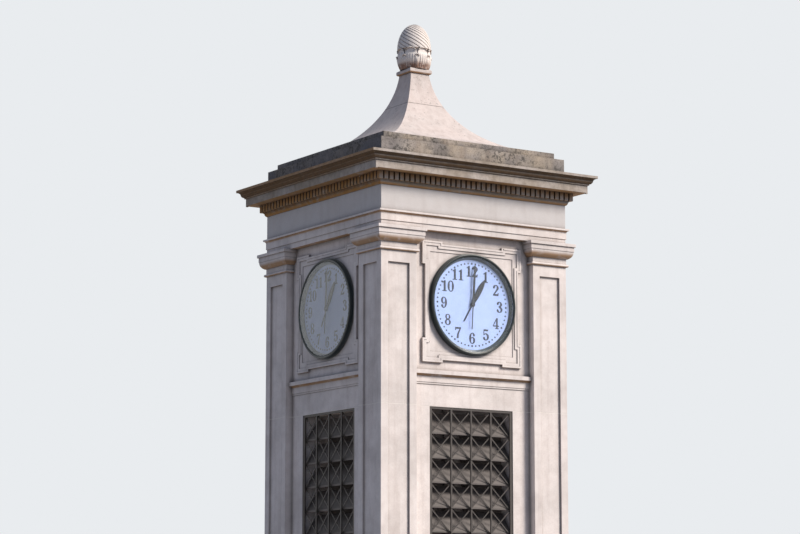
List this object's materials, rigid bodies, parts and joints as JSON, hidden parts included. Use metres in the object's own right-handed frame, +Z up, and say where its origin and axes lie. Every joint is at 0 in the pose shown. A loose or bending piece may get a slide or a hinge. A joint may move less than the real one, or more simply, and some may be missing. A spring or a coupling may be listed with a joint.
{
  "type": "stone clock tower",
  "caption": "Square stone clock tower with a dial on each face, latticed louvre openings, dentilled cornice, flared roof and pine-cone finial.",
  "frame": {"origin": "middle of the tower's foot, on the ground", "axes": "+Z up, -Y out of the front face, +X to the right as seen from the front"},
  "size_m": [2.13, 2.13, 6.646],
  "materials": {
    "limestone": "fine dressed pale limestone, lightly weathered",
    "weathered_stone": "limestone darkened by lichen and soot",
    "roof_stone": "pinkish buff limestone, weathered",
    "finial_stone": "carved limestone, dark in its hollows",
    "lattice_bronze": "dark bronze paint, matt",
    "louvre_metal": "dark brown paint, matt",
    "bezel_bronze": "dark green-black paint, satin",
    "dial_enamel": "white enamel with dark numerals",
    "hand_metal": "near-black blue paint, satin",
    "clock_glass": "clear flat glass"
  },
  "bodies": {
    "tower": {"plinth": "limestone", "base_moulding": "limestone", "pedestal": "limestone", "pedestal_cap": "limestone", "pier_bases": "limestone", "pier_front_left": "limestone", "pier_front_right": "limestone", "pier_back_right": "limestone", "pier_back_left": "limestone", "pier_capitals": "limestone", "wall_front": "limestone", "wall_right": "limestone", "wall_back": "limestone", "wall_left": "limestone", "clock_frames": "limestone", "clock_sills": "limestone", "opening_sills": "limestone", "grille_front": "lattice_bronze", "grille_right": "lattice_bronze", "grille_back": "lattice_bronze", "grille_left": "lattice_bronze", "grille_braces": "lattice_bronze", "louvres": "louvre_metal", "clock_bezels": "bezel_bronze", "clock_dials": "dial_enamel", "clock_glasses": "clock_glass", "hand_posts": "hand_metal", "architrave": "limestone", "frieze": "limestone", "bed_moulding": "limestone", "cornice": "limestone", "blocking_course_lower": "weathered_stone", "blocking_course_upper": "weathered_stone", "roof_lower": "roof_stone", "roof_upper": "roof_stone", "roof_collar": "roof_stone", "finial_cup": "finial_stone", "finial_cone": "finial_stone"},
    "minute_hand_front": {"minute_hand_front": "hand_metal"},
    "hour_hand_front": {"hour_hand_front": "hand_metal"},
    "minute_hand_right": {"minute_hand_right": "hand_metal"},
    "hour_hand_right": {"hour_hand_right": "hand_metal"},
    "minute_hand_back": {"minute_hand_back": "hand_metal"},
    "hour_hand_back": {"hour_hand_back": "hand_metal"},
    "minute_hand_left": {"minute_hand_left": "hand_metal"},
    "hour_hand_left": {"hour_hand_left": "hand_metal"}
  },
  "joints": [
    {"name": "minute_turn_front", "type": "hinge", "parent": "tower", "child": "minute_hand_front", "pos_m": [0, -0.837, 4.22], "axis": [0, 1, 0], "continuous": true},
    {"name": "hour_turn_front", "type": "hinge", "parent": "tower", "child": "hour_hand_front", "pos_m": [0, -0.827, 4.22], "axis": [0, 1, 0], "continuous": true},
    {"name": "minute_turn_right", "type": "hinge", "parent": "tower", "child": "minute_hand_right", "pos_m": [0.837, 0, 4.22], "axis": [-1, 0, 0], "continuous": true},
    {"name": "hour_turn_right", "type": "hinge", "parent": "tower", "child": "hour_hand_right", "pos_m": [0.827, 0, 4.22], "axis": [-1, 0, 0], "continuous": true},
    {"name": "minute_turn_back", "type": "hinge", "parent": "tower", "child": "minute_hand_back", "pos_m": [0, 0.837, 4.22], "axis": [0, -1, 0], "continuous": true},
    {"name": "hour_turn_back", "type": "hinge", "parent": "tower", "child": "hour_hand_back", "pos_m": [0, 0.827, 4.22], "axis": [0, -1, 0], "continuous": true},
    {"name": "minute_turn_left", "type": "hinge", "parent": "tower", "child": "minute_hand_left", "pos_m": [-0.837, 0, 4.22], "axis": [1, 0, 0], "continuous": true},
    {"name": "hour_turn_left", "type": "hinge", "parent": "tower", "child": "hour_hand_left", "pos_m": [-0.827, 0, 4.22], "axis": [1, 0, 0], "continuous": true}
  ],
  "couplings": [
    {"joint": "hour_turn_front", "follows": "minute_turn_front", "ratio": 0.083333},
    {"joint": "hour_turn_right", "follows": "minute_turn_right", "ratio": 0.083333},
    {"joint": "hour_turn_back", "follows": "minute_turn_back", "ratio": 0.083333},
    {"joint": "hour_turn_left", "follows": "minute_turn_left", "ratio": 0.083333}
  ]
}
